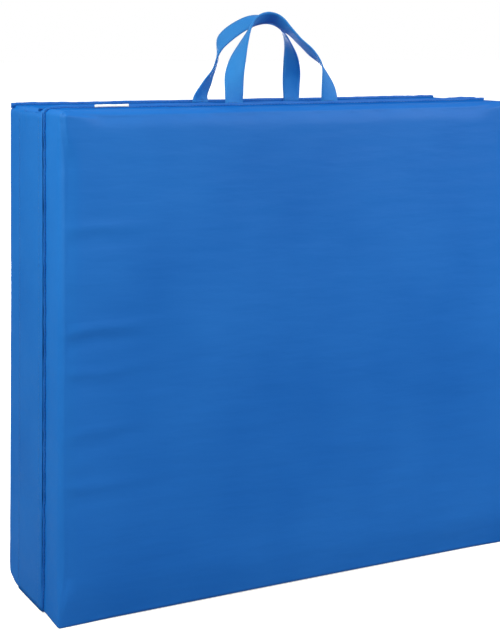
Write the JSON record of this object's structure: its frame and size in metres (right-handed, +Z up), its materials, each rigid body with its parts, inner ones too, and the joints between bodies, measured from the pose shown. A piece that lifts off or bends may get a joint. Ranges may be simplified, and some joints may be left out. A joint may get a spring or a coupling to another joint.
{
  "type": "folding gym mat",
  "caption": "Tri-fold gym mat: padded vinyl-covered panels hinged in a Z fold, with webbing carrying handles and a blank tag.",
  "frame": {"origin": "bottom centre of the folded stack, on the floor", "axes": "+Z up; +X along the panels, to the right seen from the front; +Y from the front panel to the rear panel"},
  "size_m": [0.668, 0.184, 0.7293],
  "materials": {
    "vinyl": "blue PVC-coated polyester sheet, satin, smooth with fine soft wrinkles",
    "foam": "off-white closed-cell foam",
    "webbing": "blue woven webbing, plain weave with a satin sheen",
    "tag": "white satin ribbon, blank"
  },
  "bodies": {
    "front_panel": {"front_foam": "foam", "front_outer_sheet": "vinyl", "front_inner_sheet": "vinyl", "front_side_band": "vinyl", "front_seam_flange": "vinyl", "front_handle_ends": "webbing", "label_tag": "tag"},
    "middle_panel": {"middle_foam": "foam", "middle_outer_sheet": "vinyl", "middle_inner_sheet": "vinyl", "middle_side_band": "vinyl", "middle_seam_flange": "vinyl", "front_hinge_strip": "vinyl", "rear_hinge_strip": "vinyl"},
    "rear_panel": {"rear_foam": "foam", "rear_outer_sheet": "vinyl", "rear_inner_sheet": "vinyl", "rear_side_band": "vinyl", "rear_seam_flange": "vinyl", "rear_handle_ends": "webbing"},
    "front_handle_loop": {"front_handle": "webbing"},
    "rear_handle_loop": {"rear_handle": "webbing"}
  },
  "joints": [
    {"name": "front_fold", "type": "hinge", "parent": "middle_panel", "child": "front_panel", "pos_m": [0.3325, -0.031, 0.303], "axis": [0, 0, 1], "range_deg": [0, 179.5]},
    {"name": "rear_fold", "type": "hinge", "parent": "middle_panel", "child": "rear_panel", "pos_m": [-0.3325, 0.031, 0.303], "axis": [0, 0, 1], "range_deg": [0, 179.5]},
    {"name": "front_handle_lift", "type": "hinge", "parent": "front_panel", "child": "front_handle_loop", "pos_m": [0, -0.0389, 0.6115], "axis": [1, 0, 0], "range_deg": [0, 90]},
    {"name": "rear_handle_lift", "type": "hinge", "parent": "rear_panel", "child": "rear_handle_loop", "pos_m": [0.009, 0.0817, 0.6115], "axis": [-1, 0, 0], "range_deg": [0, 90]}
  ]
}
